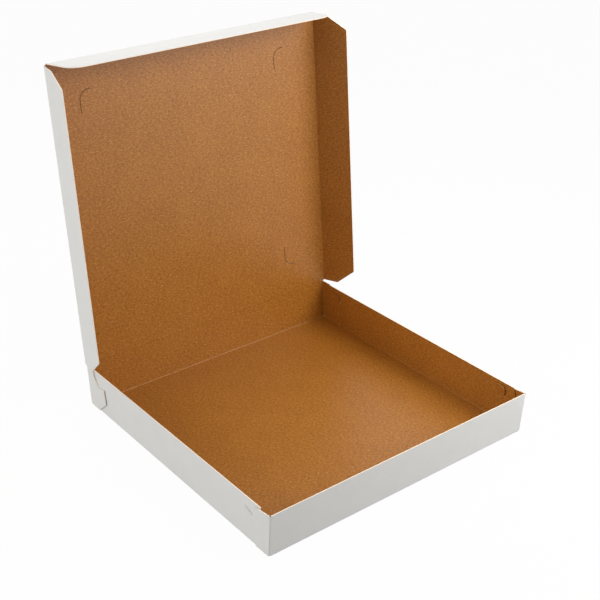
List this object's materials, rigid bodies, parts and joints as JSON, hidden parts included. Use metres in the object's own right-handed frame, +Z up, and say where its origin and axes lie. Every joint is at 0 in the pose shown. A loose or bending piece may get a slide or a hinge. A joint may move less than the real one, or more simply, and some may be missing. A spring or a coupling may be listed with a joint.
{
  "type": "pizza box",
  "caption": "Square folding food box of thin coated board with low walls, locked corners, and a hinged lid with creased flaps.",
  "frame": {"origin": "middle of the tray's underside, on the table", "axes": "+X to the right along the front wall, +Y to the hinged rear wall, +Z up"},
  "size_m": [0.2434, 0.2475, 0.265],
  "materials": {
    "coated_kraft_board": "matt"
  },
  "bodies": {
    "tray": {"tray": "coated_kraft_board"},
    "lid": {"lid_panel": "coated_kraft_board"},
    "left_flap": {"lid_left_flap": "coated_kraft_board"},
    "right_flap": {"lid_right_flap": "coated_kraft_board"},
    "front_flap": {"lid_front_flap": "coated_kraft_board"}
  },
  "joints": [
    {"name": "lid_hinge", "type": "hinge", "parent": "tray", "child": "lid", "pos_m": [0, 0.11579, 0.0341], "axis": [-1, 0, 0], "range_deg": [-93.6, 93.6]},
    {"name": "left_flap_fold", "type": "hinge", "parent": "lid", "child": "left_flap", "pos_m": [-0.1149, 0.11579, 0.0341], "axis": [0, -0.0628, -0.998], "range_deg": [-6.8, 83.2]},
    {"name": "right_flap_fold", "type": "hinge", "parent": "lid", "child": "right_flap", "pos_m": [0.1149, 0.11579, 0.0341], "axis": [0, 0.0628, 0.998], "range_deg": [-17.5, 72.5]},
    {"name": "front_flap_fold", "type": "hinge", "parent": "lid", "child": "front_flap", "pos_m": [0, 0.1301, 0.26165], "axis": [-1, 0, 0], "range_deg": [-8, 88]}
  ]
}
